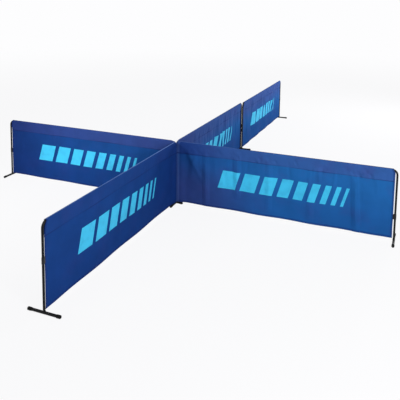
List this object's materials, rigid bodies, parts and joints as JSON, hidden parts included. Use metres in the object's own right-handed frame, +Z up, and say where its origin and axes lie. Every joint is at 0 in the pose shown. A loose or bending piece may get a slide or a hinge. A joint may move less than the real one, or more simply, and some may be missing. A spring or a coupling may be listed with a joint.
{
  "type": "table tennis barrier",
  "caption": "Low court barrier of cloth-covered tube panels that swing on a cross foot and a joint foot and stand on swivelling T feet.",
  "frame": {"origin": "on the floor, under the middle of the whole standing barrier", "axes": "+Y from the front panel along the back panel to the extension, +X to the right panel, +Z up"},
  "size_m": [4.7116, 7.0216, 0.73],
  "materials": {
    "frame_tube": "black powder coat on round steel tube",
    "foot_cap": "moulded black rubber",
    "cover_cloth": "royal blue woven polyester with a light blue print on one side",
    "tie_webbing": "black woven strap"
  },
  "bodies": {
    "hub_foot": {"hub_foot_bar": "frame_tube", "hub_foot_cap_1": "foot_cap", "hub_foot_cap_2": "foot_cap", "hub_foot_cap_3": "foot_cap", "hub_foot_cap_4": "foot_cap"},
    "front_panel": {"front_cover": "cover_cloth", "front_inner_leg": "frame_tube", "front_outer_leg": "frame_tube", "front_outer_tie": "tie_webbing", "front_top_rail": "frame_tube"},
    "left_panel": {"left_cover": "cover_cloth", "left_inner_leg": "frame_tube", "left_outer_leg": "frame_tube", "left_outer_tie": "tie_webbing", "left_top_rail": "frame_tube"},
    "right_panel": {"right_cover": "cover_cloth", "right_inner_leg": "frame_tube", "right_outer_leg": "frame_tube", "right_outer_tie": "tie_webbing", "right_top_rail": "frame_tube"},
    "back_panel": {"back_cover": "cover_cloth", "back_inner_leg": "frame_tube", "back_outer_leg": "frame_tube", "back_outer_tie": "tie_webbing", "back_top_rail": "frame_tube", "joint_foot_bar": "frame_tube", "joint_foot_cap_1": "foot_cap", "joint_foot_cap_2": "foot_cap"},
    "extension_panel": {"extension_cover": "cover_cloth", "extension_inner_leg": "frame_tube", "extension_inner_tie": "tie_webbing", "extension_outer_leg": "frame_tube", "extension_outer_tie": "tie_webbing", "extension_top_rail": "frame_tube"},
    "front_foot": {"front_foot_bar": "frame_tube", "front_foot_cap_1": "foot_cap", "front_foot_cap_2": "foot_cap"},
    "left_foot": {"left_foot_bar": "frame_tube", "left_foot_cap_1": "foot_cap", "left_foot_cap_2": "foot_cap"},
    "right_foot": {"right_foot_bar": "frame_tube", "right_foot_cap_1": "foot_cap", "right_foot_cap_2": "foot_cap"},
    "extension_foot": {"extension_foot_bar": "frame_tube", "extension_foot_cap_1": "foot_cap", "extension_foot_cap_2": "foot_cap"}
  },
  "joints": [
    {"name": "front_panel_swing", "type": "hinge", "parent": "hub_foot", "child": "front_panel", "pos_m": [0, -1.187, 0], "axis": [0, 0, 1], "range_deg": [-40, 40]},
    {"name": "left_panel_swing", "type": "hinge", "parent": "hub_foot", "child": "left_panel", "pos_m": [-0.032, -1.155, 0], "axis": [0, 0, 1], "range_deg": [-40, 40]},
    {"name": "right_panel_swing", "type": "hinge", "parent": "hub_foot", "child": "right_panel", "pos_m": [0.032, -1.155, 0], "axis": [0, 0, 1], "range_deg": [-40, 40]},
    {"name": "back_panel_swing", "type": "hinge", "parent": "hub_foot", "child": "back_panel", "pos_m": [0, -1.123, 0], "axis": [0, 0, 1], "range_deg": [-40, 40]},
    {"name": "extension_panel_swing", "type": "hinge", "parent": "back_panel", "child": "extension_panel", "pos_m": [0.0225, 1.187, 0], "axis": [0, 0, 1], "range_deg": [-60, 30]},
    {"name": "front_foot_swivel", "type": "hinge", "parent": "front_panel", "child": "front_foot", "pos_m": [0, -3.497, 0], "axis": [0, 0, 1], "range_deg": [-90, 90]},
    {"name": "left_foot_swivel", "type": "hinge", "parent": "left_panel", "child": "left_foot", "pos_m": [-2.342, -1.155, 0], "axis": [0, 0, 1], "range_deg": [-90, 90]},
    {"name": "right_foot_swivel", "type": "hinge", "parent": "right_panel", "child": "right_foot", "pos_m": [2.342, -1.155, 0], "axis": [0, 0, 1], "range_deg": [-90, 90]},
    {"name": "extension_foot_swivel", "type": "hinge", "parent": "extension_panel", "child": "extension_foot", "pos_m": [0.0225, 3.497, 0], "axis": [0, 0, 1], "range_deg": [-90, 90]}
  ]
}
